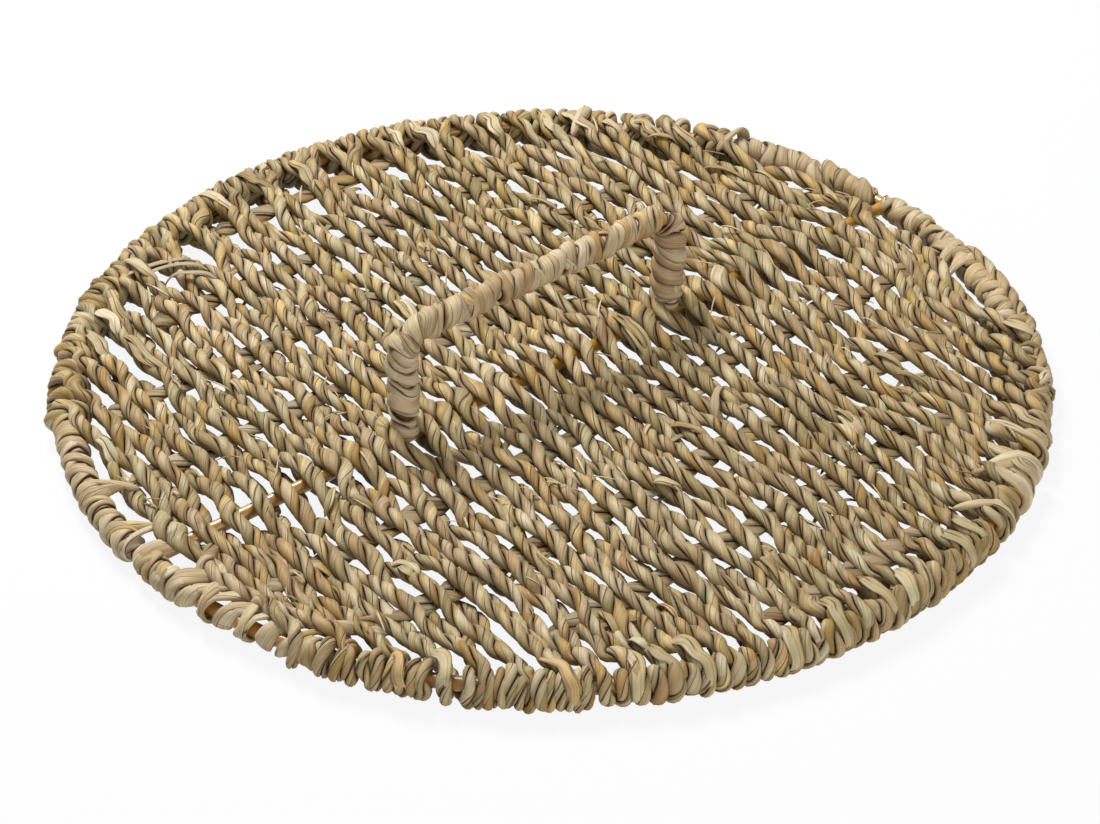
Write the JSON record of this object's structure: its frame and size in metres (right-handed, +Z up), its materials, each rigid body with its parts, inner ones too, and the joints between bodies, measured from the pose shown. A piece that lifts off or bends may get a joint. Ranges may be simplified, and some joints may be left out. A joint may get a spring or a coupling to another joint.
{
  "type": "woven lid",
  "caption": "Round flat lid of woven seagrass cord on a wire hoop, with a wrapped wire bar handle across its middle.",
  "frame": {"origin": "on the surface the lid lies on, under the middle of the cross bar", "axes": "+X along the cross bar and the handle, +Y along the long cords, +Z up through the handle"},
  "size_m": [0.3554, 0.3597, 0.0548],
  "materials": {
    "lacquered_steel": "glossy ochre lacquer",
    "long_cord": "dry twisted seagrass",
    "cross_cord": "dry twisted seagrass",
    "flat_strand": "dry flat seagrass leaf"
  },
  "bodies": {
    "root": {"rim_hoop": "lacquered_steel", "cross_bar": "lacquered_steel", "handle_rod": "lacquered_steel", "cross_cord_01": "cross_cord", "cross_cord_02": "cross_cord", "cross_cord_03": "cross_cord", "cross_cord_04": "cross_cord", "cross_cord_05": "cross_cord", "cross_cord_06": "cross_cord", "cross_cord_07": "cross_cord", "cross_cord_08": "cross_cord", "long_cord_01": "long_cord", "long_cord_02": "long_cord", "long_cord_03": "long_cord", "long_cord_04": "long_cord", "long_cord_05": "long_cord", "long_cord_06": "long_cord", "long_cord_07": "long_cord", "long_cord_08": "long_cord", "long_cord_09": "long_cord", "long_cord_10": "long_cord", "long_cord_11": "long_cord", "long_cord_12": "long_cord", "long_cord_13": "long_cord", "long_cord_14": "long_cord", "long_cord_15": "long_cord", "long_cord_16": "long_cord", "long_cord_17": "long_cord", "long_cord_18": "long_cord", "long_cord_19": "long_cord", "long_cord_20": "long_cord", "long_cord_21": "long_cord", "long_cord_22": "long_cord", "long_cord_23": "long_cord", "long_cord_24": "long_cord", "long_cord_25": "long_cord", "long_cord_26": "long_cord", "long_cord_27": "long_cord", "long_cord_28": "long_cord", "long_cord_29": "long_cord", "long_cord_30": "long_cord", "long_cord_31": "long_cord", "long_cord_32": "long_cord", "long_cord_33": "long_cord", "handle_wrap_left": "flat_strand", "handle_wrap_right": "flat_strand", "handle_wrap_grip": "flat_strand", "rim_wrap_right_back": "flat_strand", "rim_wrap_right_front": "flat_strand", "rim_wrap_left_back": "flat_strand", "rim_wrap_left_front": "flat_strand"}
  },
  "joints": []
}
